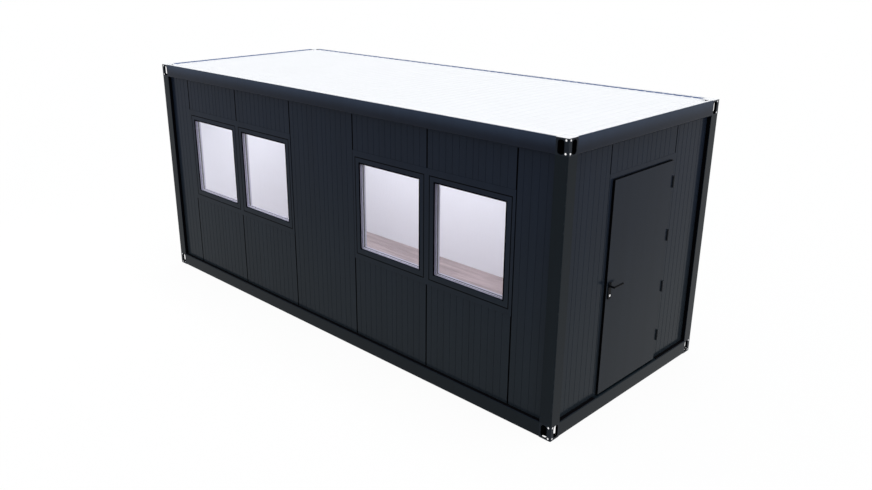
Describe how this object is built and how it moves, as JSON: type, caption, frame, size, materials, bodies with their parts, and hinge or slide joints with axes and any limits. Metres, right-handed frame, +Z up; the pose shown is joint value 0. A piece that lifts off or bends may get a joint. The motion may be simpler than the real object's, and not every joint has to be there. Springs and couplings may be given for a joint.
{
  "type": "container cabin",
  "caption": "Site cabin on a steel container frame with corner castings, grooved sandwich wall panels, paired windows in flat surrounds, a hinged end door with lever and a ribbed roof.",
  "frame": {"origin": "on the ground at the middle of the steel frame's footprint", "axes": "+X along the length towards the door end, +Y across the width away from the windows, +Z up"},
  "size_m": [6.0445, 2.4, 2.6],
  "materials": {
    "anthracite_paint": "satin",
    "casting_paint": "satin",
    "black_metal": "satin",
    "black_rubber": "matte",
    "galvanised_steel": "matte",
    "white_paint": "satin",
    "window_profile": "satin",
    "clear_glass": "clear",
    "floor_laminate": "satin",
    "lock_metal": "polished"
  },
  "bodies": {
    "cabin": {"lower_corner_castings": "casting_paint", "upper_corner_castings": "casting_paint", "front_left_post": "anthracite_paint", "front_right_post": "anthracite_paint", "back_left_post": "anthracite_paint", "back_right_post": "anthracite_paint", "front_floor_rail": "anthracite_paint", "back_floor_rail": "anthracite_paint", "left_floor_rail": "anthracite_paint", "right_floor_rail": "anthracite_paint", "front_roof_rail": "anthracite_paint", "back_roof_rail": "anthracite_paint", "left_roof_rail": "anthracite_paint", "right_roof_rail": "anthracite_paint", "floor_crossmembers": "galvanised_steel", "underfloor_sheet": "galvanised_steel", "floor_deck": "floor_laminate", "roof_sheet": "white_paint", "ceiling": "white_paint", "front_left_panel": "anthracite_paint", "front_window_panel_1": "anthracite_paint", "front_window_panel_2": "anthracite_paint", "front_centre_panel": "anthracite_paint", "front_window_panel_3": "anthracite_paint", "front_window_panel_4": "anthracite_paint", "front_right_panel": "anthracite_paint", "back_wall_panels": "anthracite_paint", "left_wall_panels": "anthracite_paint", "door_wall_left_panel": "anthracite_paint", "door_wall_right_panel": "anthracite_paint", "door_wall_top_panel": "anthracite_paint", "wall_seals": "black_rubber", "window_surrounds": "anthracite_paint", "window_frame_1": "window_profile", "window_frame_2": "window_profile", "window_frame_3": "window_profile", "window_frame_4": "window_profile", "window_panes": "clear_glass", "door_frame": "anthracite_paint", "frame_hinges": "black_metal"},
    "door": {"door_leaf": "anthracite_paint", "door_seal": "black_rubber", "leaf_hinges": "black_metal", "handle_plates": "black_metal", "lock_cylinders": "lock_metal"},
    "lever": {"handle_lever": "black_metal"}
  },
  "joints": [
    {"name": "door_swing", "type": "hinge", "parent": "cabin", "child": "door", "pos_m": [2.992, 0.4925, 1.15], "axis": [0, 0, 1], "range_deg": [0, 110]},
    {"name": "lever_turn", "type": "hinge", "parent": "door", "child": "lever", "pos_m": [2.95, -0.44, 1.195], "axis": [-1, 0, 0], "range_deg": [0, 40], "stiffness_Nm_per_rad": 0.5, "springref_deg": -34.38}
  ]
}
